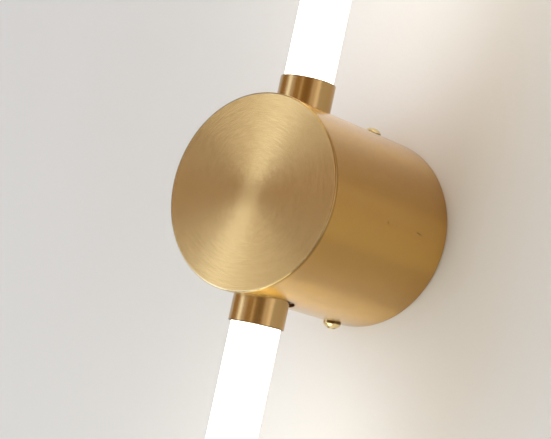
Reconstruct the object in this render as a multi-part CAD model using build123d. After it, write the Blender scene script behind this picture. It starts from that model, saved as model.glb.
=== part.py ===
from build123d import *
from math import asin, cos, sin, sqrt
import os

# Linear wall light: a turned brass drum stands on the wall, one glowing tube rises from it and one hangs below.
# Millimetres. The wall is the plane Y = 0, the room lies toward -Y and +Z is up. The drum's axis is the Y axis.

# Drum
BODY_DIAMETER = 80.0
BODY_DEPTH = 82.0
SHELL_WALL = 1.5
REAR_CHAMFER = 0.3
SEAM_CHAMFER = 0.15

# Front cap, a turned lid with a spigot inside the drum's mouth
CAP_LIP = 1.2
CAP_EDGE = 0.7
CAP_THICKNESS = 3.0
SPIGOT_DEPTH = 4.5
SPIGOT_WALL = 2.5
SPIGOT_FIT = 0.05
BOSS_DIAMETER = 9.0
CAP_SKIN = 1.4

# Glowing tubes
OVERALL_LENGTH = 600.0
TUBE_DIAMETER = 20.0
TUBE_WALL = 2.0
TUBE_SETBACK = 21.2
PLUG_RIM = 2.0
PLUG_SPIGOT = 6.0
PLUG_CHAMFER = 0.8
PLUG_FIT = 0.1

# Collars that hold the tubes
COLLAR_WALL = 1.15
COLLAR_REACH = 10.0
COLLAR_CHAMFER = 0.25
COLLAR_SEAT = 15.0
COLLAR_FIT = 0.1
SOCKET_DEPTH = 22.0
SOCKET_CHAMFER = 0.3
TUBE_FIT = 0.1
LEAD_BORE = 12.0
HOLE_GAP = 0.5
HOLE_SLACK = 2.8
SEAL_THICKNESS = 1.5
SEAL_OPENING = 14.0

# Carrier inside the drum: a square tube across it with a flange in front and one behind
CARRIER_WALL = 3.0
CARRIER_CORNER = 3.0
CARRIER_CLEARANCE = 2.0
FLANGE_REACH = 11.0
FLANGE_THICKNESS = 4.0
FRONT_FLANGE_HEIGHT = 44.0
FLANGE_SCREW_EDGE = 4.0
REAR_FLANGE_HEIGHT = 28.0
SET_SCREW_DEPTH = 8.0
NOTCH_HEIGHT = 9.0
NOTCH_DEPTH = 5.0
BUSH_HOLE = 10.4
BUSH_BORE = 8.0
BUSH_FLANGE = 13.0
BUSH_FLANGE_THICKNESS = 1.2

# Light source inside each tube
BAR_THICKNESS = 1.5
BAR_FIT = 0.15
STRIP_WIDTH = 10.0
STRIP_THICKNESS = 0.4
STRIP_SETBACK = 3.0
CHIP_PITCH = 12.5
CHIP_LENGTH = 3.5
CHIP_WIDTH = 2.8
CHIP_HEIGHT = 0.8

# Driver, the power supply behind the carrier
DRIVER_WIDTH = 36.0
DRIVER_HEIGHT = 52.0
DRIVER_DEPTH = 20.0
DRIVER_WALL = 1.6
DRIVER_CORNER = 3.0
FOOT_LENGTH = 8.0
FOOT_THICKNESS = 2.5
FOOT_OFFSET = 9.0
LID_LIP = 2.0
LID_FIT = 0.15
BOARD_MARGIN = 0.4
BOARD_THICKNESS = 1.6
BOARD_POST = 3.0
BOARD_POST_DIAMETER = 5.0
TRANSFORMER_SIZE = 15.0
TRANSFORMER_HEIGHT = 10.5
TRANSFORMER_FLANGE = 1.6
CAPACITOR_DIAMETER = 8.0
CAPACITOR_LENGTH = 11.0
CAPACITOR_GROOVE = 0.5

# Wall plate with two ears that the drum slides over
PLATE_THICKNESS = 1.5
PLATE_GAP = 1.5
EAR_GAP = 0.3
EAR_WIDTH = 14.0
EAR_MARGIN = 6.5
EAR_CORNER = 2.0
EMBOSS_DIAMETER = 24.0
EMBOSS_HEIGHT = 2.5
EMBOSS_SLOPE = 2.5
CABLE_HEIGHT = 5.0
WALL_SCREW_SPACING = 52.0
WALL_SLOT_WIDTH = 5.0
WALL_SLOT_LENGTH = 9.0
GROMMET_SEAT = 16.0
GROMMET_FLANGE = 21.0
GROMMET_FLANGE_THICKNESS = 1.5
GROMMET_ROUND = 0.5
CABLE_BORE = 9.0

# Earth point on the wall plate
EARTH_X = -16.0
EARTH_Z = 20.0
WASHER_DIAMETER = 8.6
WASHER_THICKNESS = 0.8
LUG_DIAMETER = 8.0
LUG_THICKNESS = 0.8
LUG_BARREL = 3.4
LUG_BARREL_LENGTH = 6.0

# Terminal block on the wall plate
POLE_PITCH = 9.0
POLE_COUNT = 3
TERMINAL_MARGIN = 0.5
TERMINAL_LENGTH = 15.0
TERMINAL_HEIGHT = 13.0
TERMINAL_TOP = -11.0
TERMINAL_AXIS = 6.0
TERMINAL_EDGE = 0.8
CLAMP_DIAMETER = 5.0
CLAMP_BORE = 3.5
CLAMP_INSET = 1.0
CLAMP_FIT = 0.1
CLAMP_SCREW_SPREAD = 7.0
CLAMP_SCREW_DIAMETER = 3.0
CLAMP_SCREW_SINK = 2.0
CLAMP_SCREW_SLOT = 0.6

# Insulated leads
MAINS_LEAD = 2.4
LED_LEAD = 3.0
LEAD_FIT = 0.2
LEAD_TAIL = 3.0
LEAD_BEND = 3.5
LEAD_DROP = 5.5
LEAD_SPREAD = 4.0
LEAD_GAP = 0.1

# Fasteners
SCREW_FROM_WALL = 10.5
SIDE_SCREW_LENGTH = 8.0
SIDE_HEAD_HEIGHT = 3.0
M4_THREAD = 4.0
M4_HEAD = 7.5
M4_HEAD_HEIGHT = 2.2
M3_THREAD = 3.0
M3_HEAD = 5.6
M3_HEAD_HEIGHT = 1.8
M2_THREAD = 2.5
M2_HEAD = 4.4
M2_HEAD_HEIGHT = 1.5
FOOT_SCREW_LENGTH = 6.0
NUT_WIDTH = 7.0
NUT_THICKNESS = 3.2
SET_SCREW_SOCKET = 2.0
SCREW_CLEARANCE = 0.2
THREAD_FIT = 0.05
HEAD_SHOULDER = 0.35
RECESS_SPAN = 0.58
RECESS_WIDTH = 0.13
RECESS_DEPTH = 0.6
TIP_CHAMFER = 0.3
TIP_RECESS = 0.2

# Sizes that follow from those above
body_radius = BODY_DIAMETER / 2
shell_bore = body_radius - SHELL_WALL
front_y = -BODY_DEPTH
mouth_y = front_y + CAP_LIP
tube_radius = TUBE_DIAMETER / 2
tube_bore = tube_radius - TUBE_WALL
tube_y = front_y + TUBE_SETBACK
socket_radius = tube_radius + TUBE_FIT
collar_radius = socket_radius + COLLAR_WALL
collar_top = body_radius + COLLAR_REACH
shoulder_z = collar_top - SOCKET_DEPTH
tube_start = shoulder_z + SEAL_THICKNESS
tube_end = OVERALL_LENGTH / 2 - PLUG_RIM
bar_end = tube_end - PLUG_SPIGOT
strip_start = tube_start + STRIP_SETBACK
strip_end = bar_end - STRIP_SETBACK
carrier_bore = collar_radius + COLLAR_FIT
carrier_half = carrier_bore + CARRIER_WALL
carrier_top = sqrt(shell_bore**2 - carrier_half**2) - CARRIER_CLEARANCE
carrier_front = tube_y - carrier_half
carrier_rear = tube_y + carrier_half
collar_foot = carrier_top - COLLAR_SEAT
flange_half = carrier_half + FLANGE_REACH
flange_screw_x = carrier_half + FLANGE_REACH / 2
flange_screw_z = FRONT_FLANGE_HEIGHT / 2 - FLANGE_SCREW_EDGE
boss_hole_y = front_y + CAP_SKIN
set_screw_z = carrier_top - SET_SCREW_DEPTH
led_lead_y = tube_y - BAR_THICKNESS / 2 - LED_LEAD / 2 - LEAD_GAP
led_lead_x = flange_half - NOTCH_DEPTH / 2
driver_front = carrier_rear
driver_rear = driver_front + DRIVER_DEPTH
driver_side = DRIVER_WIDTH / 2
driver_floor = driver_front + DRIVER_WALL
board_front = driver_floor + BOARD_POST
board_rear = board_front + BOARD_THICKNESS
foot_x = driver_side + FOOT_LENGTH / 2
plate_radius = shell_bore - PLATE_GAP
ear_radius = shell_bore - EAR_GAP
ear_inside = ear_radius - PLATE_THICKNESS
ear_length = SCREW_FROM_WALL + EAR_MARGIN
emboss_front = -PLATE_THICKNESS - EMBOSS_HEIGHT
terminal_bottom = TERMINAL_TOP - TERMINAL_LENGTH
terminal_middle = TERMINAL_TOP - TERMINAL_LENGTH / 2
terminal_front = -PLATE_THICKNESS - TERMINAL_HEIGHT
terminal_half = POLE_PITCH * POLE_COUNT / 2 + TERMINAL_MARGIN
pole_y = -PLATE_THICKNESS - TERMINAL_AXIS
pole_x = [POLE_PITCH * (i - (POLE_COUNT - 1) / 2) for i in range(POLE_COUNT)]
terminal_screw_x = POLE_PITCH / 2
lug_front = -PLATE_THICKNESS - WASHER_THICKNESS - LUG_THICKNESS
lug_axis_y = lug_front + LUG_THICKNESS - LUG_BARREL / 2
lug_end_z = EARTH_Z - LUG_DIAMETER / 2 - LUG_BARREL_LENGTH


def rod_x(radius, start, end, y=0.0, z=0.0):
    """Round bar along X."""
    bar = Cylinder(radius, end - start, align=(Align.CENTER, Align.CENTER, Align.MIN))
    return Pos(start, y, z) * Rot(0, 90, 0) * bar


def rod_y(radius, start, end, x=0.0, z=0.0):
    """Round bar along Y."""
    bar = Cylinder(radius, end - start, align=(Align.CENTER, Align.CENTER, Align.MIN))
    return Pos(x, start, z) * Rot(-90, 0, 0) * bar


def rod_z(radius, start, end, x=0.0, y=0.0):
    """Round bar along Z."""
    bar = Cylinder(radius, end - start, align=(Align.CENTER, Align.CENTER, Align.MIN))
    return Pos(x, y, start) * bar


def block(x, y, z):
    """Box between two limits on each axis."""
    centre = Pos(sum(x) / 2, sum(y) / 2, sum(z) / 2)
    return centre * Box(x[1] - x[0], y[1] - y[0], z[1] - z[0])


def turned_y(points):
    """Turned about the Y axis from a closed outline of radius and Y."""
    return revolve(make_face(Polyline(*points, close=True)), Axis.Y)


def turned_z(points):
    """Turned about the tubes' axis from a closed outline of radius and Z."""
    return Pos(0, tube_y, 0) * revolve(Plane.XZ * make_face(Polyline(*points, close=True)), Axis.Z)


def below(shape):
    """The same piece on the lower tube."""
    return mirror(shape, about=Plane.XY)


def lead(points, diameter):
    """Round insulated lead along straight runs joined by tangent bends."""
    path = FilletPolyline(*points, radius=LEAD_BEND)
    section = Plane(path @ 0, z_dir=path % 0) * Circle(diameter / 2)
    return sweep(section, path=path)


def pan_screw(thread, length, head, height):
    """Cross-recessed pan-head screw along Z, its head standing on Z = 0."""
    shank = thread / 2
    rim = head / 2
    outline = Polyline(
        (0, height),
        (0, -length),
        (shank - TIP_CHAMFER, -length),
        (shank, TIP_CHAMFER - length),
        (shank, 0),
        (rim, 0),
        (rim, height * HEAD_SHOULDER),
    )
    rise = height * (1 - HEAD_SHOULDER)
    crown = (rim**2 + rise**2) / (2 * rise)
    half_turn = asin(rim / crown) / 2
    middle = (crown * sin(half_turn), height - crown * (1 - cos(half_turn)))
    dome = ThreePointArc((rim, height * HEAD_SHOULDER), middle, (0, height))
    screw = revolve(Plane.XZ * make_face(outline + dome), Axis.Z)
    floor = height * (1 - RECESS_DEPTH)
    half_span = head * RECESS_SPAN / 2
    half_width = head * RECESS_WIDTH / 2
    screw -= block((-half_span, half_span), (-half_width, half_width), (floor, height))
    screw -= block((-half_width, half_width), (-half_span, half_span), (floor, height))
    return screw


def grid(x, z):
    """The four points of a rectangle about the Y axis."""
    return [(x, z), (-x, z), (-x, -z), (x, -z)]


def body_shell():
    """Drum: a brass pipe with an oblong opening for each collar and a hole for each side screw."""
    shell = turned_y(
        [
            (shell_bore, mouth_y),
            (body_radius - SEAM_CHAMFER, mouth_y),
            (body_radius, mouth_y + SEAM_CHAMFER),
            (body_radius, -REAR_CHAMFER),
            (body_radius - REAR_CHAMFER, 0),
            (shell_bore, 0),
        ]
    )
    opening = Pos(0, tube_y + HOLE_SLACK / 2) * Rot(0, 0, 90) * SlotCenterToCenter(
        HOLE_SLACK, 2 * (collar_radius + HOLE_GAP)
    )
    shell -= extrude(opening, body_radius, both=True)
    shell -= rod_z(M4_THREAD / 2 + SCREW_CLEARANCE, -body_radius, body_radius, y=-SCREW_FROM_WALL)
    return shell


def front_cap():
    """Front disc with a rounded rim, a spigot that fits the drum's mouth and four tapped bosses."""
    spigot = shell_bore - SPIGOT_FIT
    inner = spigot - SPIGOT_WALL
    back_y = front_y + CAP_THICKNESS
    spigot_y = mouth_y + SPIGOT_DEPTH
    cap = turned_y(
        [
            (0, front_y),
            (body_radius, front_y),
            (body_radius, mouth_y - SEAM_CHAMFER),
            (body_radius - SEAM_CHAMFER, mouth_y),
            (spigot, mouth_y),
            (spigot, spigot_y),
            (inner, spigot_y),
            (inner, back_y),
            (0, back_y),
        ]
    )
    rim = cap.edges().filter_by(GeomType.CIRCLE).group_by(Axis.Y)[0]
    cap = fillet(rim, CAP_EDGE)
    for x, z in grid(flange_screw_x, flange_screw_z):
        cap += rod_y(BOSS_DIAMETER / 2, back_y, carrier_front, x, z)
    for x, z in grid(flange_screw_x, flange_screw_z):
        cap -= rod_y(M4_THREAD / 2 + THREAD_FIT, boss_hole_y, carrier_front, x, z)
    return cap


def tube_carrier():
    """Carrier: a square tube that grips both collars, flanged to the cap in front and the driver behind."""
    section = RectangleRounded(2 * carrier_half, 2 * carrier_half, CARRIER_CORNER)
    carrier = Pos(0, tube_y) * extrude(section, carrier_top, both=True)
    wide = (-flange_half, flange_half)
    front_tall = (-FRONT_FLANGE_HEIGHT / 2, FRONT_FLANGE_HEIGHT / 2)
    rear_tall = (-REAR_FLANGE_HEIGHT / 2, REAR_FLANGE_HEIGHT / 2)
    carrier += block(wide, (carrier_front, carrier_front + FLANGE_THICKNESS), front_tall)
    carrier += block(wide, (carrier_rear - FLANGE_THICKNESS, carrier_rear), rear_tall)
    carrier -= rod_z(carrier_bore, -carrier_top, carrier_top, y=tube_y)
    for x, z in grid(flange_screw_x, flange_screw_z):
        carrier -= rod_y(M4_THREAD / 2 + SCREW_CLEARANCE, carrier_front, carrier_front + FLANGE_THICKNESS, x, z)
    for side in (1, -1):
        hole = M3_THREAD / 2 + THREAD_FIT
        carrier -= rod_y(hole, carrier_rear - FLANGE_THICKNESS, carrier_rear, side * foot_x, side * FOOT_OFFSET)
        carrier -= rod_y(M4_THREAD / 2 + THREAD_FIT, tube_y, carrier_rear, z=side * set_screw_z)
    notch = (flange_half - NOTCH_DEPTH, flange_half)
    carrier -= block(notch, (carrier_rear - FLANGE_THICKNESS, carrier_rear), (-NOTCH_HEIGHT / 2, NOTCH_HEIGHT / 2))
    carrier -= rod_x(BUSH_HOLE / 2, 0, carrier_half, y=led_lead_y)
    return carrier


def lead_bush():
    """Rubber bush in the carrier's side, where both lamp leads pass."""
    inside = sqrt(carrier_bore**2 - (tube_y - led_lead_y + BUSH_HOLE / 2) ** 2)
    bush = rod_x(BUSH_HOLE / 2, inside, carrier_half, y=led_lead_y)
    bush += rod_x(BUSH_FLANGE / 2, carrier_half, carrier_half + BUSH_FLANGE_THICKNESS, y=led_lead_y)
    bush -= rod_x(BUSH_BORE / 2, inside, carrier_half + BUSH_FLANGE_THICKNESS, y=led_lead_y)
    return bush


def flange_screws():
    """Four screws that pull the carrier against the cap's bosses."""
    seat_y = carrier_front + FLANGE_THICKNESS
    screw = pan_screw(M4_THREAD, seat_y - boss_hole_y - TIP_RECESS, M4_HEAD, M4_HEAD_HEIGHT)
    return Compound([Pos(x, seat_y, z) * Rot(-90, 0, 0) * screw for x, z in grid(flange_screw_x, flange_screw_z)])


def collar():
    """Turned collar: a socket for the tube outside, a shoulder, and a foot held in the carrier."""
    return turned_z(
        [
            (socket_radius + SOCKET_CHAMFER, collar_top),
            (collar_radius - COLLAR_CHAMFER, collar_top),
            (collar_radius, collar_top - COLLAR_CHAMFER),
            (collar_radius, collar_foot + COLLAR_CHAMFER),
            (collar_radius - COLLAR_CHAMFER, collar_foot),
            (LEAD_BORE / 2, collar_foot),
            (LEAD_BORE / 2, shoulder_z),
            (socket_radius, shoulder_z),
            (socket_radius, collar_top - SOCKET_CHAMFER),
        ]
    )


def set_screws():
    """Socket set screws that lock the collars in the carrier."""
    rear = carrier_rear - TIP_RECESS
    front = tube_y + collar_radius
    screws = []
    for side in (1, -1):
        screw = rod_y(M4_THREAD / 2, front, rear, z=side * set_screw_z)
        socket = Plane((0, rear, side * set_screw_z), z_dir=(0, 1, 0)) * RegularPolygon(SET_SCREW_SOCKET / 2, 6)
        screws.append(screw - extrude(socket, (front - rear) / 2))
    return Compound(screws)


def tube_seal():
    """Silicone ring that the tube and the bar stand on."""
    outer = socket_radius - TUBE_FIT
    inner = SEAL_OPENING / 2
    return turned_z([(inner, shoulder_z), (outer, shoulder_z), (outer, tube_start), (inner, tube_start)])


def diffuser():
    """Opal tube."""
    return turned_z([(tube_bore, tube_start), (tube_radius, tube_start), (tube_radius, tube_end), (tube_bore, tube_end)])


def end_plug():
    """Opal plug that closes the tube's far end."""
    spigot = tube_bore - PLUG_FIT
    top = tube_end + PLUG_RIM
    return turned_z(
        [
            (0, bar_end),
            (spigot, bar_end),
            (spigot, tube_end),
            (tube_radius, tube_end),
            (tube_radius, top - PLUG_CHAMFER),
            (tube_radius - PLUG_CHAMFER, top),
            (0, top),
        ]
    )


def heat_bar():
    """Flat aluminium bar in the tube, from the seal to the end plug."""
    half = sqrt((tube_bore - BAR_FIT) ** 2 - (BAR_THICKNESS / 2) ** 2)
    thick = (tube_y - BAR_THICKNESS / 2, tube_y + BAR_THICKNESS / 2)
    return block((-half, half), thick, (tube_start, bar_end))


def both_faces(depth, x, z, inset=0.0):
    """The same flat piece on the bar's front face and on its rear face."""
    near = BAR_THICKNESS / 2 + inset
    front = block(x, (tube_y - near - depth, tube_y - near), z)
    rear = block(x, (tube_y + near, tube_y + near + depth), z)
    return [front, rear]


def led_strip():
    """Flexible circuit strips on both faces of the bar."""
    return Compound(both_faces(STRIP_THICKNESS, (-STRIP_WIDTH / 2, STRIP_WIDTH / 2), (strip_start, strip_end)))


def led_chips():
    """Light-emitting chips in a row along both strips."""
    count = int((strip_end - strip_start) / CHIP_PITCH)
    first = (strip_start + strip_end - CHIP_PITCH * (count - 1)) / 2
    chips = []
    for i in range(count):
        z = first + CHIP_PITCH * i
        tall = (z - CHIP_WIDTH / 2, z + CHIP_WIDTH / 2)
        chips += both_faces(CHIP_HEIGHT, (-CHIP_LENGTH / 2, CHIP_LENGTH / 2), tall, STRIP_THICKNESS)
    return Compound(chips)


def led_lead():
    """Two-core lead from the driver, through the bush, up to the strip in the upper tube."""
    board_y = board_rear + LED_LEAD / 2 + LEAD_GAP
    z = LEAD_SPREAD / 2
    inside_x = driver_side - DRIVER_WALL - LEAD_TAIL
    points = [
        (inside_x, board_y, z),
        (led_lead_x, board_y, z),
        (led_lead_x, led_lead_y, z),
        (0, led_lead_y, z),
        (0, led_lead_y, strip_start),
    ]
    return lead(points, LED_LEAD)


def driver_case():
    """Driver's case: an open tray with two feet, posts for the board and holes for the leads."""
    section = RectangleRounded(DRIVER_WIDTH, DRIVER_HEIGHT, DRIVER_CORNER)
    hollow = RectangleRounded(
        DRIVER_WIDTH - 2 * DRIVER_WALL, DRIVER_HEIGHT - 2 * DRIVER_WALL, DRIVER_CORNER - DRIVER_WALL
    )
    facing_wall = Plane((0, driver_front, 0), x_dir=(1, 0, 0), z_dir=(0, 1, 0))
    floor_plane = Plane((0, driver_floor, 0), x_dir=(1, 0, 0), z_dir=(0, 1, 0))
    case = extrude(facing_wall * section, DRIVER_DEPTH - DRIVER_WALL)
    case -= extrude(floor_plane * hollow, DRIVER_DEPTH)
    for side in (1, -1):
        x = sorted((side * (driver_side - DRIVER_WALL / 2), side * (driver_side + FOOT_LENGTH)))
        z = (side * FOOT_OFFSET - FOOT_LENGTH / 2, side * FOOT_OFFSET + FOOT_LENGTH / 2)
        foot = block(x, (driver_front, driver_front + FOOT_THICKNESS), z)
        hole = M3_THREAD / 2 + SCREW_CLEARANCE
        foot -= rod_y(hole, driver_front, driver_front + FOOT_THICKNESS, side * foot_x, side * FOOT_OFFSET)
        case += foot
    post_x = driver_side - DRIVER_WALL - BOARD_POST_DIAMETER
    post_z = DRIVER_HEIGHT / 2 - DRIVER_WALL - BOARD_POST_DIAMETER
    for x, z in grid(post_x, post_z):
        case += rod_y(BOARD_POST_DIAMETER / 2, driver_floor, board_front, x, z)
    led_y = board_rear + LED_LEAD / 2 + LEAD_GAP
    for z in (LEAD_SPREAD / 2, -LEAD_SPREAD / 2):
        case -= rod_x(LED_LEAD / 2 + LEAD_FIT, driver_side - 2 * DRIVER_WALL, driver_side, led_y, z)
    mains_y = board_rear + MAINS_LEAD / 2 + LEAD_GAP
    wall_z = -DRIVER_HEIGHT / 2
    for x in (pole_x[0], pole_x[-1]):
        case -= rod_z(MAINS_LEAD / 2 + LEAD_FIT, wall_z, wall_z + 2 * DRIVER_WALL, x, mains_y)
    return case


def driver_lid():
    """Lid of the driver's case with a lip that drops inside it."""
    plane = Plane((0, driver_rear - DRIVER_WALL, 0), x_dir=(1, 0, 0), z_dir=(0, 1, 0))
    lid = extrude(plane * RectangleRounded(DRIVER_WIDTH, DRIVER_HEIGHT, DRIVER_CORNER), DRIVER_WALL)
    inset = 2 * (DRIVER_WALL + LID_FIT)
    lip = RectangleRounded(DRIVER_WIDTH - inset, DRIVER_HEIGHT - inset, DRIVER_CORNER - DRIVER_WALL)
    hollow = offset(lip, -DRIVER_WALL)
    lid += extrude(plane * (lip - hollow), -LID_LIP)
    return lid


def driver_board():
    """Circuit board on the case's posts."""
    half_x = driver_side - DRIVER_WALL - BOARD_MARGIN
    half_z = DRIVER_HEIGHT / 2 - DRIVER_WALL - BOARD_MARGIN
    corner = DRIVER_CORNER - DRIVER_WALL
    plane = Plane((0, board_front, 0), x_dir=(1, 0, 0), z_dir=(0, 1, 0))
    return extrude(plane * RectangleRounded(2 * half_x, 2 * half_z, corner), BOARD_THICKNESS)


def driver_transformer():
    """Transformer: a wound core between two bobbin flanges."""
    half = TRANSFORMER_SIZE / 2
    waist = half - TRANSFORMER_FLANGE
    top = board_rear + TRANSFORMER_HEIGHT
    core = block((-half, half), (board_rear, top), (-waist, waist))
    for z in (-half, half - TRANSFORMER_FLANGE):
        core += block((-half, half), (board_rear, top), (z, z + TRANSFORMER_FLANGE))
    core -= block((-half, TRANSFORMER_FLANGE - half), (board_rear, top), (-waist, waist))
    core -= block((half - TRANSFORMER_FLANGE, half), (board_rear, top), (-waist, waist))
    return core


def driver_capacitors():
    """Two can capacitors lying on the board, each with a rolled groove."""
    radius = CAPACITOR_DIAMETER / 2
    y = board_rear + radius
    z = TRANSFORMER_SIZE / 2 + 2 * TRANSFORMER_FLANGE + radius
    cans = []
    for side in (1, -1):
        can = rod_x(radius, -CAPACITOR_LENGTH / 2, CAPACITOR_LENGTH / 2, y, side * z)
        groove_x = CAPACITOR_LENGTH / 2 - 2 * CAPACITOR_GROOVE
        ring = rod_x(radius, groove_x - CAPACITOR_GROOVE, groove_x, y, side * z)
        ring -= rod_x(radius - CAPACITOR_GROOVE, groove_x - CAPACITOR_GROOVE, groove_x, y, side * z)
        cans.append(can - ring)
    return Compound(cans)


def foot_screws():
    """Two screws that hold the driver's feet to the carrier's rear flange."""
    screw = pan_screw(M3_THREAD, FOOT_SCREW_LENGTH, M3_HEAD, M3_HEAD_HEIGHT)
    seat_y = driver_front + FOOT_THICKNESS
    return Compound([Pos(s * foot_x, seat_y, s * FOOT_OFFSET) * Rot(-90, 0, 0) * screw for s in (1, -1)])


def wall_plate():
    """Stamped steel plate: a raised boss round the cable hole, two slots and two rolled ears."""
    flat = rod_y(plate_radius, -PLATE_THICKNESS, 0)
    ear_x = (-EAR_WIDTH / 2, EAR_WIDTH / 2)
    rolled = rod_y(ear_radius, -ear_length, 0) - rod_y(ear_inside, -ear_length, -PLATE_THICKNESS)
    plate = flat + (rolled & block(ear_x, (-ear_length, 0), (-body_radius, body_radius)))
    plate = fillet(plate.edges().filter_by(Axis.Z).group_by(Axis.Y)[0], EAR_CORNER)
    top = EMBOSS_DIAMETER / 2
    boss = turned_y(
        [
            (0, 0),
            (top + EMBOSS_SLOPE, 0),
            (top + EMBOSS_SLOPE, -PLATE_THICKNESS),
            (top, emboss_front),
            (0, emboss_front),
        ]
    )
    hollow = turned_y(
        [
            (0, 0),
            (top + EMBOSS_SLOPE - PLATE_THICKNESS, 0),
            (top - PLATE_THICKNESS, emboss_front + PLATE_THICKNESS),
            (0, emboss_front + PLATE_THICKNESS),
        ]
    )
    plate = plate + Pos(0, 0, CABLE_HEIGHT) * boss - Pos(0, 0, CABLE_HEIGHT) * hollow
    plate -= rod_y(GROMMET_SEAT / 2, emboss_front, 0, z=CABLE_HEIGHT)
    slot = SlotOverall(WALL_SLOT_LENGTH, WALL_SLOT_WIDTH)
    for side in (1, -1):
        plane = Plane((side * WALL_SCREW_SPACING / 2, 0, 0), x_dir=(1, 0, 0), z_dir=(0, -1, 0))
        plate -= extrude(plane * slot, PLATE_THICKNESS)
    plate -= rod_z(M4_THREAD / 2 + SCREW_CLEARANCE, -body_radius, body_radius, y=-SCREW_FROM_WALL)
    plate -= rod_y(M4_THREAD / 2 + THREAD_FIT, -PLATE_THICKNESS, 0, EARTH_X, EARTH_Z)
    plate -= rod_y(M2_THREAD / 2 + THREAD_FIT, -PLATE_THICKNESS, 0, terminal_screw_x, terminal_middle)
    return plate


def cable_grommet():
    """Rubber grommet snapped into the raised boss, for the supply cable from the wall."""
    seat = GROMMET_SEAT / 2
    flange = GROMMET_FLANGE / 2
    bore = CABLE_BORE / 2
    seat_rear = emboss_front + PLATE_THICKNESS
    front = emboss_front - GROMMET_FLANGE_THICKNESS
    rear = seat_rear + GROMMET_FLANGE_THICKNESS
    ring = turned_y(
        [
            (bore, front),
            (flange - GROMMET_ROUND, front),
            (flange, front + GROMMET_ROUND),
            (flange, emboss_front),
            (seat, emboss_front),
            (seat, seat_rear),
            (flange, seat_rear),
            (flange, rear - GROMMET_ROUND),
            (flange - GROMMET_ROUND, rear),
            (bore, rear),
        ]
    )
    return Pos(0, 0, CABLE_HEIGHT) * ring


def ear_nuts():
    """Weld nuts inside the ears that take the side screws."""
    corner = NUT_WIDTH / sqrt(3)
    face_z = sqrt(ear_inside**2 - corner**2)
    nut = Pos(0, -SCREW_FROM_WALL, face_z - NUT_THICKNESS) * extrude(RegularPolygon(corner, 6), NUT_THICKNESS)
    nut -= rod_z(M4_THREAD / 2 + THREAD_FIT, 0, body_radius, y=-SCREW_FROM_WALL)
    return Compound([nut, below(nut)])


def side_screw():
    """Screw that clamps the drum to an ear of the wall plate."""
    screw = pan_screw(M4_THREAD, SIDE_SCREW_LENGTH, M4_HEAD, SIDE_HEAD_HEIGHT)
    return Pos(0, -SCREW_FROM_WALL, body_radius) * screw


def earth_washer():
    """Washer under the earth lug."""
    y = (-PLATE_THICKNESS - WASHER_THICKNESS, -PLATE_THICKNESS)
    washer = rod_y(WASHER_DIAMETER / 2, *y, EARTH_X, EARTH_Z)
    return washer - rod_y(M4_THREAD / 2 + SCREW_CLEARANCE, *y, EARTH_X, EARTH_Z)


def earth_lug():
    """Ring lug with a crimped barrel for the earth lead."""
    y = (lug_front, lug_front + LUG_THICKNESS)
    ring_edge = EARTH_Z - LUG_DIAMETER / 2
    lug = rod_y(LUG_DIAMETER / 2, *y, EARTH_X, EARTH_Z)
    lug += block((EARTH_X - LUG_BARREL / 2, EARTH_X + LUG_BARREL / 2), y, (ring_edge, EARTH_Z))
    lug += rod_z(LUG_BARREL / 2, lug_end_z, ring_edge, EARTH_X, lug_axis_y)
    lug += block((EARTH_X - LUG_BARREL / 2, EARTH_X + LUG_BARREL / 2), y, (ring_edge - LUG_THICKNESS, ring_edge))
    return lug - rod_y(M4_THREAD / 2 + SCREW_CLEARANCE, *y, EARTH_X, EARTH_Z)


def earth_screw():
    """Earth screw through lug and washer into the wall plate."""
    screw = pan_screw(M4_THREAD, -lug_front - TIP_RECESS, M4_HEAD, M4_HEAD_HEIGHT)
    return Pos(EARTH_X, lug_front, EARTH_Z) * Rot(90, 0, 0) * screw


def earth_lead():
    """Earth lead from the lug to the middle pole of the terminal block."""
    end_z = TERMINAL_TOP - CLAMP_INSET - LEAD_TAIL
    turn_z = TERMINAL_TOP + LEAD_DROP
    points = [
        (EARTH_X, lug_axis_y, lug_end_z),
        (EARTH_X, lug_axis_y, turn_z),
        (0, pole_y, turn_z),
        (0, pole_y, end_z),
    ]
    return lead(points, MAINS_LEAD)


def mains_lead(x):
    """Lead from one pole of the terminal block to the driver's board."""
    board_y = board_rear + MAINS_LEAD / 2 + LEAD_GAP
    low = min(terminal_bottom, -DRIVER_HEIGHT / 2) - LEAD_DROP
    points = [
        (x, board_y, -DRIVER_HEIGHT / 2 + DRIVER_WALL + LEAD_TAIL),
        (x, board_y, low),
        (x, pole_y, low),
        (x, pole_y, terminal_bottom + CLAMP_INSET + LEAD_TAIL),
    ]
    return lead(points, MAINS_LEAD)


def clamp_screw_points():
    """Where the clamping screws stand: two to a pole."""
    half = CLAMP_SCREW_SPREAD / 2
    return [(x, terminal_middle + side * half) for x in pole_x for side in (1, -1)]


def terminal_block():
    """Moulded terminal block with a passage and two screw wells for each pole."""
    body = block((-terminal_half, terminal_half), (terminal_front, -PLATE_THICKNESS), (terminal_bottom, TERMINAL_TOP))
    body = chamfer(body.edges().filter_by(Axis.Z).group_by(Axis.Y)[0], TERMINAL_EDGE)
    for x in pole_x:
        body -= rod_z(CLAMP_DIAMETER / 2 + CLAMP_FIT, terminal_bottom, TERMINAL_TOP, x, pole_y)
    for x, z in clamp_screw_points():
        body -= rod_y(CLAMP_SCREW_DIAMETER / 2 + CLAMP_FIT, terminal_front, pole_y, x, z)
    body -= rod_y(M2_THREAD / 2 + SCREW_CLEARANCE, terminal_front, 0, terminal_screw_x, terminal_middle)
    return body


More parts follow.
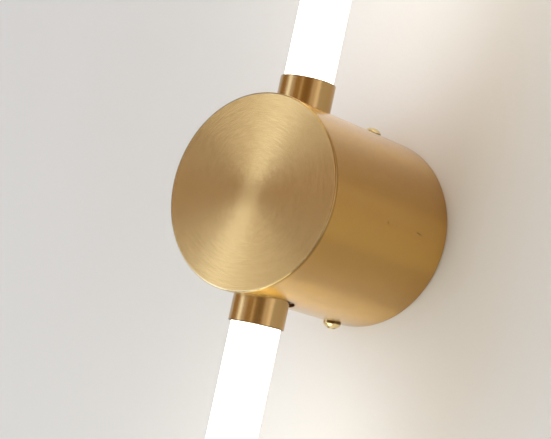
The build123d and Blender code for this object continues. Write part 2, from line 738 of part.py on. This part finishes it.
def terminal_clamps():
    """Brass clamp sleeves in the poles, drilled for their screws."""
    sleeves = []
    for x in pole_x:
        ends = (terminal_bottom + CLAMP_INSET, TERMINAL_TOP - CLAMP_INSET)
        sleeve = rod_z(CLAMP_DIAMETER / 2, *ends, x, pole_y) - rod_z(CLAMP_BORE / 2, *ends, x, pole_y)
        for screw_x, z in clamp_screw_points():
            sleeve -= rod_y(CLAMP_SCREW_DIAMETER / 2 + THREAD_FIT, terminal_front, pole_y, screw_x, z)
        sleeves.append(sleeve)
    return Compound(sleeves)


def terminal_screws():
    """Slotted clamping screws, driven down to the leads."""
    head_y = terminal_front + CLAMP_SCREW_SINK
    tip_y = pole_y - MAINS_LEAD / 2 - LEAD_GAP
    half = CLAMP_SCREW_DIAMETER / 2
    screws = []
    for x, z in clamp_screw_points():
        screw = rod_y(half, head_y, tip_y, x, z)
        slot_y = (head_y, head_y + 2 * CLAMP_SCREW_SLOT)
        screw -= block((x - half, x + half), slot_y, (z - CLAMP_SCREW_SLOT / 2, z + CLAMP_SCREW_SLOT / 2))
        screws.append(screw)
    return Compound(screws)


def terminal_fixing_screw():
    """Screw that holds the terminal block to the wall plate."""
    screw = pan_screw(M2_THREAD, -terminal_front - TIP_RECESS, M2_HEAD, M2_HEAD_HEIGHT)
    return Pos(terminal_screw_x, terminal_front, terminal_middle) * Rot(90, 0, 0) * screw


pieces = {
    "body_shell": body_shell(),
    "front_cap": front_cap(),
    "tube_carrier": tube_carrier(),
    "lead_bush": lead_bush(),
    "flange_screws": flange_screws(),
    "set_screws": set_screws(),
    "driver_case": driver_case(),
    "driver_lid": driver_lid(),
    "driver_board": driver_board(),
    "driver_transformer": driver_transformer(),
    "driver_capacitors": driver_capacitors(),
    "foot_screws": foot_screws(),
    "wall_plate": wall_plate(),
    "cable_grommet": cable_grommet(),
    "ear_nuts": ear_nuts(),
    "earth_washer": earth_washer(),
    "earth_lug": earth_lug(),
    "earth_screw": earth_screw(),
    "earth_lead": earth_lead(),
    "live_lead": mains_lead(pole_x[-1]),
    "neutral_lead": mains_lead(pole_x[0]),
    "terminal_block": terminal_block(),
    "terminal_clamps": terminal_clamps(),
    "terminal_screws": terminal_screws(),
    "terminal_fixing_screw": terminal_fixing_screw(),
}
paired = {
    "collar": collar(),
    "tube_seal": tube_seal(),
    "diffuser": diffuser(),
    "end_plug": end_plug(),
    "heat_bar": heat_bar(),
    "led_strip": led_strip(),
    "led_chips": led_chips(),
    "led_lead": led_lead(),
    "side_screw": side_screw(),
}
for name, shape in paired.items():
    pieces["upper_" + name] = shape
    pieces["lower_" + name] = below(shape)

os.makedirs("parts", exist_ok=True)
for name, shape in pieces.items():
    export_step(shape, f"parts/{name}.step")
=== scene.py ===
import math

import bmesh
import bpy
from mathutils import Euler, Matrix, Vector

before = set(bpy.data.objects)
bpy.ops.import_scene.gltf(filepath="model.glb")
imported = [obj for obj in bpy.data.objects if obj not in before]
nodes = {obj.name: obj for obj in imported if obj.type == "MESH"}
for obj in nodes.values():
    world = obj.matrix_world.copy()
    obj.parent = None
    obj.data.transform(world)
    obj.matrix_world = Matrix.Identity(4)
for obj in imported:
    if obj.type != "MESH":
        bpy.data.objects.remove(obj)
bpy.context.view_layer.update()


# Wall and floor: painted plaster, rolled on, that the light is screwed to, and a pale screed far
# below. The wall is cut out behind the wall plate. Both show from the room's side alone, so that
# the light can be looked at from behind and below, and the floor shows an even pale tone.
class Value:
    """One output of a shader node. Arithmetic on it adds Math nodes to the same finish."""

    def __init__(self, finish, socket):
        self.finish = finish
        self.socket = socket

    def math(self, operation, *terms):
        """One Math node on the terms."""
        return self.finish.add("ShaderNodeMath", {"operation": operation}, dict(enumerate(terms)))

    def __add__(self, other):
        return self.math("ADD", self, other)

    def __sub__(self, other):
        return self.math("SUBTRACT", self, other)

    def __rsub__(self, other):
        return self.math("SUBTRACT", other, self)

    def __mul__(self, other):
        return self.math("MULTIPLY", self, other)

    def __truediv__(self, other):
        return self.math("DIVIDE", self, other)

    def __rtruediv__(self, other):
        return self.math("DIVIDE", other, self)

    def __gt__(self, other):
        return self.math("GREATER_THAN", self, other)

    def __abs__(self):
        return self.math("ABSOLUTE", self)

    __radd__ = __add__
    __rmul__ = __mul__

    def fade(self, start, end, lowest=0.0, shape="LINEAR"):
        """Goes from lowest to 1 while the value goes from start to end."""
        span = {"Value": self, "From Min": start, "From Max": end, "To Min": lowest}
        return self.finish.add("ShaderNodeMapRange", {"interpolation_type": shape}, span)


class Finish:
    """A surface finish: one material, its nodes and its main shader. The room is built alike."""

    def __init__(self, name, store=bpy.data.materials, shader="Principled BSDF"):
        self.material = store.new(name)
        self.material.use_nodes = True
        self.tree = self.material.node_tree
        self.shader = self.tree.nodes[shader]

    def add(self, kind, settings=None, sockets=None, output=0):
        """Adds a node: its settings, then its socket values or links. Gives one of its outputs."""
        node = self.tree.nodes.new(kind)
        for key, setting in (settings or {}).items():
            setattr(node, key, setting)
        self.plug(node, sockets or {})
        return Value(self, node.outputs[output])

    def plug(self, node, sockets):
        """Sets or links a node's sockets."""
        for key, given in sockets.items():
            socket = node.inputs[key]
            if isinstance(given, Value):
                self.tree.links.new(given.socket, socket)
            elif socket.type == "RGBA" and len(given) == 3:
                socket.default_value = (*given, 1.0)
            else:
                socket.default_value = given

    def set(self, **sockets):
        """Sets or links the main shader's sockets, with _ for the spaces in their names."""
        self.plug(self.shader, {key.replace("_", " "): given for key, given in sockets.items()})

    def surface(self):
        """What the main shader gives."""
        return Value(self, self.shader.outputs[0])

    def place(self):
        """Object coordinates as a vector."""
        return self.add("ShaderNodeTexCoord", output="Object")

    def axis(self, letter):
        """One object coordinate: X, Y or Z."""
        return self.add("ShaderNodeSeparateXYZ", sockets={"Vector": self.place()}, output=letter)

    def vector(self, operation, *terms, output="Vector"):
        """One Vector Math node. The number that scales a vector has a socket of its own."""
        keys = (0, "Scale") if operation == "SCALE" else (0, 1)
        sockets = dict(zip(keys, terms))
        return self.add("ShaderNodeVectorMath", {"operation": operation}, sockets, output)

    def noise(self, scale, detail=2.0, stretch=(1.0, 1.0, 1.0)):
        """Soft noise from 0 to 1 with its grain in cycles per metre, stretched along the axes."""
        where = self.vector("MULTIPLY", self.place(), stretch)
        sockets = {"Vector": where, "Scale": scale, "Detail": detail}
        return self.add("ShaderNodeTexNoise", sockets=sockets)

    def blend(self, amount, first, second):
        """Mixes two colours, which a Mix node takes at sockets 6 and 7 and gives at output 2."""
        sockets = {0: amount, 6: first, 7: second}
        return self.add("ShaderNodeMix", {"data_type": "RGBA"}, sockets, output=2)

    def bump(self, height, depth, strength):
        """Normal from a height, with its depth in metres."""
        sockets = {"Height": height, "Distance": depth, "Strength": strength}
        return self.add("ShaderNodeBump", sockets=sockets)


def flat_sheet(name, radius, hole, turn, place, finish):
    """A round sheet with a round hole, turned and moved in its mesh."""
    sheet = bmesh.new()
    for reach in (radius, hole):
        bmesh.ops.create_circle(sheet, segments=96, radius=reach)
    bmesh.ops.bridge_loops(sheet, edges=sheet.edges)
    sheet.normal_update()
    upside_down = [face for face in sheet.faces if face.normal.z < 0]
    bmesh.ops.reverse_faces(sheet, faces=upside_down)
    bmesh.ops.rotate(sheet, verts=sheet.verts, matrix=turn)
    bmesh.ops.translate(sheet, verts=sheet.verts, vec=place)
    mesh = bpy.data.meshes.new(name)
    sheet.to_mesh(mesh)
    sheet.free()
    mesh.materials.append(finish.material)
    piece = bpy.data.objects.new(name, mesh)
    bpy.context.scene.collection.objects.link(piece)
    return piece


def clear_from_behind(finish, front):
    """Shows a shader from the front alone."""
    behind = finish.add("ShaderNodeNewGeometry", output="Backfacing")
    clear = finish.add("ShaderNodeBsdfTransparent")
    one_sided = finish.add("ShaderNodeMixShader", sockets={0: behind, 1: front, 2: clear})
    finish.plug(finish.tree.nodes["Material Output"], {"Surface": one_sided})


MM = 0.001
plaster = Finish("wall_plaster")
mottle = plaster.noise(scale=7.0, detail=3.0)
rolled = plaster.noise(scale=420.0, detail=4.0)
plaster.set(
    Base_Color=plaster.blend(mottle, (0.78, 0.768, 0.73), (0.80, 0.788, 0.75)),
    Roughness=0.82,
    Specular_IOR_Level=0.25,
    Normal=plaster.bump(rolled, depth=0.2 * MM, strength=0.35),
)
clear_from_behind(plaster, plaster.surface())
upright = Matrix.Rotation(math.radians(90), 3, "X")
just_behind = (0, 0.3 * MM, 0)
wall = flat_sheet(
    "wall", radius=1.25, hole=38.9 * MM, turn=upright, place=just_behind, finish=plaster
)

backdrop_tone = (0.52, 0.50, 0.47)
screed = Finish("pale_floor")
cloud = screed.noise(scale=3.0, detail=4.0)
screed.set(
    Base_Color=screed.blend(cloud, (0.66, 0.64, 0.61), (0.72, 0.70, 0.67)), Roughness=0.7
)
rays = ("Is Camera Ray", "Is Glossy Ray", "Is Transmission Ray")
seen = sum(screed.add("ShaderNodeLightPath", output=ray) for ray in rays)
pale = screed.add("ShaderNodeEmission", sockets={"Color": backdrop_tone, "Strength": 1.0})
shown = screed.add("ShaderNodeMixShader", sockets={0: seen, 1: screed.surface(), 2: pale})
clear_from_behind(screed, shown)
level = Matrix.Identity(3)
far_below = (0, -4.0, -1.3)
floor = flat_sheet("floor", radius=25.0, hole=5 * MM, turn=level, place=far_below, finish=screed)


def dress(finish, *names):
    """Gives CAD nodes a finish."""
    for name in names:
        nodes[name].data.materials.clear()
        nodes[name].data.materials.append(finish.material)


def darker(colour, share):
    """A share of a colour."""
    return tuple(share * part for part in colour)


def plated(name, colour, roughness):
    """Plated metal: a faint spangle in its tone and fine scuffs in its gloss."""
    plating = Finish(name)
    where = {"Vector": plating.place(), "Scale": 420.0}
    cells = plating.add("ShaderNodeTexVoronoi", {"feature": "F1"}, where, output="Color")
    spangle = plating.add("ShaderNodeSeparateColor", sockets={"Color": cells}, output="Red")
    spangle_depth = 0.6
    scuff = plating.noise(scale=900.0, detail=4.0, stretch=(1.0, 0.3, 1.0))
    smoothest, scuffing = roughness - 0.06, 0.16
    plating.set(
        Base_Color=plating.blend(spangle * spangle_depth, colour, darker(colour, 0.82)),
        Metallic=1.0,
        Roughness=smoothest + scuff * scuffing,
        Normal=plating.bump(scuff, depth=0.02 * MM, strength=0.4),
    )
    return plating


dress(plated("plate_zinc", colour=(0.62, 0.64, 0.66), roughness=0.38), "wall_plate")


# Plain fasteners: zinc-plated steel nuts, washers and screws inside the drum, and black set
# screws in the carrier. They are cold formed, so they are smoother than the plate.
fastener_zinc = plated("fastener_zinc", colour=(0.60, 0.61, 0.62), roughness=0.28)
dress(fastener_zinc, "ear_nuts", "earth_washer", "flange_screws", "foot_screws")
dress(fastener_zinc, "terminal_screws", "terminal_fixing_screw")
dress(plated("black_oxide", colour=(0.07, 0.07, 0.075), roughness=0.42), "set_screws")


# Cable grommet and lead bush: moulded black rubber rings, snapped into their holes.
# Rubber is matt and a little dusty.
def moulded(name, colour, roughness, grain=1600.0, dust=0.12):
    """Moulded plastic or rubber: a fine grain and a slight drift in its tone."""
    plastic = Finish(name)
    drift = plastic.noise(scale=55.0, detail=3.0)
    skin = plastic.noise(scale=grain)
    smoothest, grain_gloss = roughness - 0.05, 0.1
    paler = tuple(part + (1.0 - part) * dust for part in colour)
    plastic.set(
        Base_Color=plastic.blend(drift, colour, paler),
        Roughness=smoothest + skin * grain_gloss,
        Normal=plastic.bump(skin, depth=0.03 * MM, strength=0.5),
    )
    return plastic


rubber = moulded("black_rubber", colour=(0.018, 0.018, 0.019), roughness=0.72, dust=0.03)
dress(rubber, "cable_grommet", "lead_bush")


# Earth point: a green screw through a tinned lug and a washer into the wall plate.
# The lug is pressed from copper sheet, and its barrel is crimped on the striped lead.
dress(plated("green_chromate", colour=(0.10, 0.36, 0.13), roughness=0.34), "earth_screw")
dress(plated("tinned_copper", colour=(0.72, 0.71, 0.69), roughness=0.30), "earth_lug")
sleeve_green, sleeve_yellow = (0.05, 0.30, 0.05), (0.80, 0.66, 0.04)
turns, yellow_from = 2400.0, 0.25
striped = moulded("green_yellow_sleeve", colour=sleeve_green, roughness=0.45)
slant = (striped.axis("X") + striped.axis("Z")) * turns
stripe = slant.math("SINE", slant) > yellow_from
striped.set(Base_Color=striped.blend(stripe, sleeve_green, sleeve_yellow))
dress(striped, "earth_lead")


# Terminal block: moulded nylon with a brass clamp sleeve in each pole.
# A small screw holds it to the wall plate.
nylon = moulded("nylon", colour=(0.80, 0.78, 0.72), roughness=0.38, dust=0.2)
light_depth = (4 * MM, 3 * MM, 2 * MM)
nylon.set(Subsurface_Weight=0.15, Subsurface_Radius=light_depth, Subsurface_Scale=1.0)
dress(nylon, "terminal_block")


def drawn_metal(name, colour, roughness):
    """Drawn or milled metal: fine streaks along Z."""
    metal = Finish(name)
    streak = metal.noise(scale=2600.0, detail=3.0, stretch=(1.0, 1.0, 0.04))
    stain = metal.noise(scale=60.0, detail=3.0)
    smoothest, streaking = roughness - 0.08, 0.16
    metal.set(
        Base_Color=metal.blend(stain, colour, darker(colour, 0.86)),
        Metallic=1.0,
        Roughness=smoothest + streak * streaking,
        Normal=metal.bump(streak, depth=0.02 * MM, strength=0.5),
    )
    return metal


dress(drawn_metal("clamp_brass", colour=(0.70, 0.50, 0.22), roughness=0.3), "terminal_clamps")


# Carrier and heat bars: extruded aluminium, milled to length.
# The carrier grips both collars and is screwed to the cap; a bar stands in each tube.
carrier_aluminium = drawn_metal("carrier_aluminium", colour=(0.68, 0.69, 0.70), roughness=0.36)
dress(carrier_aluminium, "tube_carrier")
bar_aluminium = drawn_metal("bar_aluminium", colour=(0.76, 0.76, 0.77), roughness=0.3)
dress(bar_aluminium, "upper_heat_bar", "lower_heat_bar")


# Driver: a white moulded case with a lid, a green board, a taped transformer and black can
# capacitors. Its feet are screwed to the carrier's rear flange.
white_case = moulded("white_case", colour=(0.78, 0.78, 0.76), roughness=0.48)
dress(white_case, "driver_case", "driver_lid")
board_lacquer = moulded("board_lacquer", colour=(0.02, 0.17, 0.06), roughness=0.32, grain=500.0)
dress(board_lacquer, "driver_board")
winding_tape = moulded("winding_tape", colour=(0.72, 0.50, 0.06), roughness=0.4, grain=700.0)
dress(winding_tape, "driver_transformer")
can_sleeve = moulded("can_sleeve", colour=(0.025, 0.025, 0.03), roughness=0.28, dust=0.05)
dress(can_sleeve, "driver_capacitors")


# Leads: insulated copper, brown and blue to the terminal block and white two-core to the lamps.
# The sleeve is smooth extruded plastic.
dress(moulded("brown_sleeve", colour=(0.13, 0.055, 0.025), roughness=0.4), "live_lead")
dress(moulded("blue_sleeve", colour=(0.02, 0.09, 0.42), roughness=0.4), "neutral_lead")
white_sleeve = moulded("white_sleeve", colour=(0.80, 0.80, 0.78), roughness=0.42)
dress(white_sleeve, "upper_led_lead", "lower_led_lead")


# Light source: white circuit strips with yellow chips, stuck to both faces of each bar, and
# silicone rings that the tubes stand on. The opal tubes hide the strips.
white_circuit = moulded("white_circuit", colour=(0.84, 0.84, 0.82), roughness=0.42, grain=900.0)
dress(white_circuit, "upper_led_strip", "lower_led_strip")
phosphor = moulded("yellow_phosphor", colour=(0.85, 0.66, 0.10), roughness=0.5)
dress(phosphor, "upper_led_chips", "lower_led_chips")
silicone = moulded("silicone", colour=(0.74, 0.74, 0.72), roughness=0.55)
dress(silicone, "upper_tube_seal", "lower_tube_seal")


# Collars: turned brass sleeves that grip the tubes and pass into the drum. The turning tool
# leaves fine rings round them, and they are polished more than the drum, so they show the room as
# bright and dark bands. Their rim, beside the tube, carries a thin line of painted shade.
def lacquered_brass(name, colour, stain, roughness, lacquer):
    """Brass under clear lacquer: a slow drift in its tone, and pale gloss at grazing edges."""
    brass = Finish(name)
    drift = brass.noise(scale=22.0, detail=4.0)
    brass.set(
        Base_Color=brass.blend(drift, colour, stain),
        Metallic=1.0,
        Roughness=roughness,
        Coat_Weight=lacquer,
        Coat_Roughness=0.2,
        Coat_IOR=1.28,
    )
    return brass


def from_axis(brass, across, centre=(0, 0, 0)):
    """The way out from an axis, square to it. across is 0 along the axis and 1 across it."""
    offset = brass.vector("SUBTRACT", brass.place(), centre)
    return brass.vector("MULTIPLY", offset, across)


def speckle(brass, seed, output):
    """A grain too fine to see, from 0 to 1, as a number or as a colour."""
    sockets = {"Vector": brass.place(), "W": seed}
    return brass.add("ShaderNodeTexWhiteNoise", {"noise_dimensions": "4D"}, sockets, output)


def grit(brass, seed=0.0):
    """A grain too fine to see, from -1 to 1."""
    return speckle(brass, seed, "Value") * 2.0 - 1.0


def soft_grit(brass):
    """A grain too fine to see, from -1 to 1 and most often near 0."""
    return (grit(brass) + grit(brass, seed=0.5)) * 0.5


def arcs_round(brass, outwards, axis, across, pitch, run):
    """Short arcs round an axis as noise from 0 to 1: their pitch, and their run in radians."""
    turned = brass.vector("SCALE", outwards, 1.0 / run)
    stepped = brass.vector("SCALE", axis, across / pitch)
    where = brass.vector("ADD", turned, stepped)
    sockets = {"Vector": where, "Scale": 1.0, "Detail": 2.0, "Roughness": 0.6}
    return brass.add("ShaderNodeTexNoise", sockets=sockets)


def scratches(grain, arcs, share):
    """Lean of fine scratches: a grain too fine to see, and a share of arcs long enough to see."""
    either_way = arcs * 2.0 - 1.0
    return grain * (1.0 - share) + either_way * (2.0 * share)


def tilt(brass, direction, amount):
    """Normal leaned along a direction by a signed amount."""
    straight = brass.add("ShaderNodeNewGeometry", output="Normal")
    leaned = brass.vector("ADD", straight, brass.vector("SCALE", direction, amount))
    return brass.vector("NORMALIZE", leaned)


def over_colour(brass, amount, colour):
    """Lays another colour over the one that the brass has so far."""
    so_far = Value(brass, brass.shader.inputs["Base Color"].links[0].from_socket)
    brass.set(Base_Color=brass.blend(amount, so_far, colour))


collar_brass = lacquered_brass(
    "collar_brass",
    colour=(0.56, 0.362, 0.142),
    stain=(0.53, 0.337, 0.131),
    roughness=0.22,
    lacquer=0.06,
)
along_tube, across_tube, tube_axis = (0, 0, 1), (1, 1, 0), (0, -60.8 * MM, 0)
outwards = collar_brass.vector("NORMALIZE", from_axis(collar_brass, across_tube, tube_axis))
height = collar_brass.axis("Z")
tool_rings = arcs_round(collar_brass, outwards, along_tube, height, pitch=0.2 * MM, run=0.2)
turning = scratches(soft_grit(collar_brass), tool_rings, share=0.3)
turning_lean = 0.15
collar_brass.set(Normal=tilt(collar_brass, along_tube, turning * turning_lean))
# Painted shade: a thin dark line round the collar's rim, beside the tube.
rim_shade_depth, rim_shade_tone = 0.9, (0.12, 0.07, 0.025)
at_painted_rim = abs(height).fade(49.55 * MM, 49.75 * MM)
over_colour(collar_brass, at_painted_rim * rim_shade_depth, rim_shade_tone)
dress(collar_brass, "upper_collar", "lower_collar")


# Tubes and end plugs: opal acrylic, lit from inside by the strips.
# The surface is smooth, and the far end is closed with a plug of the same stock.
opal = Finish("opal_acrylic")
haze = opal.noise(scale=40.0)
opal.set(
    Base_Color=opal.blend(haze, (0.88, 0.87, 0.85), (0.92, 0.91, 0.89)),
    Roughness=0.22,
    Emission_Color=opal.blend(haze, (1.0, 0.935, 0.81), (1.0, 0.945, 0.83)),
    Emission_Strength=3.35,
)
dress(opal, "upper_diffuser", "lower_diffuser", "upper_end_plug", "lower_end_plug")


# Drum: brass pipe, turned and satin finished, then lacquered. Its openings let the collars
# through, and the side screws clamp it to the wall plate. Handling has left two small knocks and
# a short scratch on its side.
def marks(brass, *places):
    """1 on each mark and 0 elsewhere, for marks given by middle, half lengths and turn about X."""
    edge, core = 1.0, 0.7
    total = 0.0
    for middle, half, turn in places:
        near = brass.add(
            "ShaderNodeMapping",
            {"vector_type": "TEXTURE"},
            {
                "Vector": brass.place(),
                "Location": middle,
                "Rotation": (turn, 0, 0),
                "Scale": half,
            },
        )
        total = total + brass.vector("LENGTH", near, output="Value").fade(edge, core)
    return total


drum_brass = lacquered_brass(
    "drum_brass",
    colour=(0.60, 0.326, 0.052),
    stain=(0.57, 0.304, 0.044),
    roughness=0.21,
    lacquer=1.0,
)
along_drum, across_drum, drum_radius = (0, 1, 0), (1, 0, 1), 40 * MM
outwards = drum_brass.vector("NORMALIZE", from_axis(drum_brass, across_drum))
depth = drum_brass.axis("Y")
satin_rings = arcs_round(drum_brass, outwards, along_drum, depth, pitch=0.2 * MM, run=0.2)
satin = scratches(soft_grit(drum_brass), satin_rings, share=0.12)
satin_lean = 1.45
drum_brass.set(Normal=tilt(drum_brass, along_drum, satin * satin_lean))
wear = marks(
    drum_brass,
    ((drum_radius, -43.3 * MM, 0), (MM, 0.65 * MM, 0.6 * MM), 0.0),
    ((drum_radius, -36.8 * MM, -0.1 * MM), (MM, 0.5 * MM, 0.45 * MM), 0.0),
    ((drum_radius, -20.4 * MM, 0.1 * MM), (MM, 2.6 * MM, 0.36 * MM), math.radians(-8)),
)
wear_depth, wear_tone = 0.8, (0.16, 0.06, 0.01)
over_colour(drum_brass, wear * wear_depth, wear_tone)
dress(drum_brass, "body_shell")


# Front cap: turned brass disc that sits in the drum with a fine seam darkened by painted shade,
# screwed to the carrier.
# A pad held against it in the lathe has left rings of fine scratches, which spread the light into
# two bright fans. Its rounded rim has painted shade at the upper left and lower right, and a
# painted highlight below.
cap_brass = lacquered_brass(
    "cap_brass",
    colour=(0.60, 0.396, 0.165),
    stain=(0.575, 0.374, 0.151),
    roughness=0.22,
    lacquer=0.05,
)
spoke = from_axis(cap_brass, across_drum)
outwards = cap_brass.vector("NORMALIZE", spoke)
distance = cap_brass.vector("LENGTH", spoke, output="Value")
hairs = arcs_round(cap_brass, outwards, along_drum, distance, pitch=0.37 * MM, run=0.2)
rings = scratches(grit(cap_brass), hairs, share=0.1)
rings_lean, lean_at_rim = 0.8, 0.1
flat = distance.fade(39.6 * MM, 39.0 * MM, lowest=lean_at_rim)
wander = cap_brass.vector("SUBTRACT", speckle(cap_brass, 2.0, "Color"), (0.5, 0.5, 0.5))
slip = cap_brass.vector("MULTIPLY", wander, (9 * MM, 0, 9 * MM))
across_rings = cap_brass.vector("NORMALIZE", cap_brass.vector("ADD", spoke, slip))
cap_brass.set(Normal=tilt(cap_brass, across_rings, rings * flat * rings_lean))
hair_depth, hair_tone = 0.6, (0.465, 0.30, 0.105)
over_colour(cap_brass, hairs.fade(0.3, 0.7) * hair_depth, hair_tone)
# The band of the rounded rim that takes the painted light and shade.
at_painted_rim = distance.fade(39.25 * MM, 39.5 * MM)


def paint_rim_light_and_shade(toward, start, full, amount, colour):
    """Paints a colour of light or shade onto the cap's rim where it faces one way, from the start
    of the stretch to full tint.
    """
    facing = cap_brass.vector("DOT_PRODUCT", outwards, toward, output="Value")
    over_colour(cap_brass, at_painted_rim * facing.fade(start, full) * amount, colour)


# Painted shade at the rim's upper left and lower right, and a painted highlight along its lower
# edge.
upper_left, below, lower_right = (-0.9, 0, 0.45), (-0.3, 0, -0.95), (0.74, 0, -0.67)
paint_rim_light_and_shade(upper_left, start=0.2, full=0.7, amount=0.85, colour=(0.10, 0.055, 0.02))
paint_rim_light_and_shade(below, start=0.6, full=0.9, amount=0.6, colour=(0.82, 0.70, 0.45))
paint_rim_light_and_shade(lower_right, start=0.76, full=0.94, amount=0.55, colour=(0.24, 0.137, 0.052))
# Painted shade: a dark band on the cap's lip along its seam with the drum.
seam_shade_depth, seam_shade_tone = 0.8, (0.22, 0.11, 0.035)
at_seam_shade = cap_brass.axis("Y").fade(-81.5 * MM, -81.1 * MM)
over_colour(cap_brass, at_seam_shade * seam_shade_depth, seam_shade_tone)
dress(cap_brass, "front_cap")


# Side screws: bright brass-plated pan heads with a cross recess, one above and one below, which
# clamp the drum to the ears of the wall plate. Painted shade darkens the foot of each head
# on one side.
screw_brass = lacquered_brass(
    "screw_brass",
    colour=(0.84, 0.68, 0.36),
    stain=(0.76, 0.59, 0.28),
    roughness=0.18,
    lacquer=0.03,
)
# Painted shade: the foot of each head, next to the drum, darkened on one side.
foot_shade_depth, foot_shade_tone = 0.92, (0.10, 0.035, 0.008)
at_foot = abs(screw_brass.axis("Z")).fade(40.9 * MM, 40.6 * MM)
one_side = screw_brass.axis("X").fade(-0.8 * MM, 0.2 * MM)
over_colour(screw_brass, at_foot * one_side * foot_shade_depth, foot_shade_tone)
dress(screw_brass, "upper_side_screw", "lower_side_screw")


# Light: a window with a curtain in front at the left, a door and a pale side of the room at the
# right, a gap in front, and soft panels above and below. One lamp washes the wall and isn't seen
# in metal, and one behind the wall lights the light's back. The room is warm, with a dim far end.
def soft_lamp(name, place, aim, width, height, brightness, colour, lean=0.0):
    """An even rectangular lamp of a given brightness, leaning in its own plane."""
    data = bpy.data.lights.new(name, "AREA")
    data.shape = "RECTANGLE"
    data.size = width
    data.size_y = height
    data.energy = brightness * math.pi * width * height
    data.color = colour
    lamp = bpy.data.objects.new(name, data)
    lamp.location = place
    toward_aim = (Vector(aim) - Vector(place)).to_track_quat("-Z", "Y").to_matrix()
    leaning = Matrix.Rotation(math.radians(lean), 3, "Z")
    lamp.rotation_euler = (toward_aim @ leaning).to_euler()
    bpy.context.scene.collection.objects.link(lamp)
    return lamp


at_cap, at_tubes, at_drum = (0, -80 * MM, 0), (0, -60 * MM, 0), (0, -50 * MM, 0)
at_plate, beside_drum = (0, 0, 0), (80 * MM, 0, 0)
soft_lamp(
    "left_window", place=(-1.19, -1.36, 0.17), aim=at_cap, width=0.48, height=2.6, lean=-11.0,
    brightness=1.95, colour=(0.49, 0.675, 1.0),
)
soft_lamp(
    "left_curtain", place=(-1.11, -1.43, 0.17), aim=at_cap, width=1.4, height=2.6, lean=-11.0,
    brightness=0.55, colour=(0.47, 0.655, 1.0),
)
soft_lamp(
    "right_door", place=(1.284, -0.181, 0.0), aim=at_tubes, width=0.35, height=1.2,
    brightness=1.20, colour=(0.717, 0.817, 1.0),
)
soft_lamp(
    "right_side", place=(1.20, -0.58, 0.0), aim=at_tubes, width=0.46, height=1.2,
    brightness=0.60, colour=(0.65, 0.775, 1.0),
)
wash = soft_lamp(
    "wall_wash", place=(0.5, -0.35, 0.0), aim=beside_drum, width=0.2, height=1.0,
    brightness=0.34, colour=(0.90, 0.92, 1.0),
)
wash.visible_glossy = False
soft_lamp(
    "front_gap", place=(0.337, -1.52, 0.0), aim=at_tubes, width=0.2, height=1.2,
    brightness=0.6, colour=(0.80, 0.88, 1.0),
)
soft_lamp(
    "ceiling", place=(-0.75, -1.05, 1.3), aim=at_drum, width=2.6, height=1.3,
    brightness=0.58, colour=(0.741, 0.862, 1.0),
)
soft_lamp(
    "floor_glow", place=(-0.75, -1.05, -1.2), aim=at_drum, width=2.6, height=1.3,
    brightness=1.45, colour=(0.741, 0.852, 1.0),
)
soft_lamp(
    "below", place=(-0.1, -0.35, -1.1), aim=at_drum, width=0.8, height=0.6,
    brightness=2.75, colour=(0.82, 1.0, 0.93),
)
soft_lamp(
    "above", place=(0.2, -0.2, 1.2), aim=at_drum, width=0.8, height=0.4,
    brightness=1.75, colour=(0.90, 1.0, 0.82),
)
soft_lamp(
    "back_lamp", place=(0.5, 1.5, 0.6), aim=at_plate, width=1.0, height=1.0,
    brightness=1.5, colour=(1.0, 1.0, 1.0),
)

room = Finish("pale_room", bpy.data.worlds, "Background")
look = room.add("ShaderNodeTexCoord", output="Generated")
rise = room.add("ShaderNodeSeparateXYZ", sockets={"Vector": look}, output="Z")
past_wall = room.add("ShaderNodeSeparateXYZ", sockets={"Vector": look}, output="Y")
far_end = room.vector("DOT_PRODUCT", look, (0.607, -0.789, -0.097), output="Value")
upper_half = rise.fade(-0.25, 0.25, shape="SMOOTHSTEP")
even = room.blend(upper_half, (0.64, 0.40, 0.165), (0.40, 0.248, 0.103))
warm = room.blend(far_end.fade(0.93, 1.0, shape="SMOOTHSTEP"), even, (0.17, 0.105, 0.06))
room.set(Color=room.blend(past_wall > 0.0, warm, backdrop_tone))
bpy.context.scene.world = room.material
bpy.context.scene.view_settings.view_transform = "Standard"


# Camera: to the right of the light, in front of it and a little below, turned about its own line
# of sight. The lens suits a picture 551 pixels wide.
camera_data = bpy.data.cameras.new("camera")
camera_data.sensor_width = 36.0
camera_data.lens = 136.795
camera = bpy.data.objects.new("camera", camera_data)
swing, lift, roll = (math.radians(angle) for angle in (37.566, 5.546, 12.176))
sight = Euler((math.pi / 2 + lift, 0, swing)).to_matrix() @ Matrix.Rotation(roll, 3, "Z")
camera.location = (0.50432, -0.71852, -0.08763)
camera.rotation_euler = sight.to_euler()
bpy.context.scene.collection.objects.link(camera)
bpy.context.scene.camera = camera
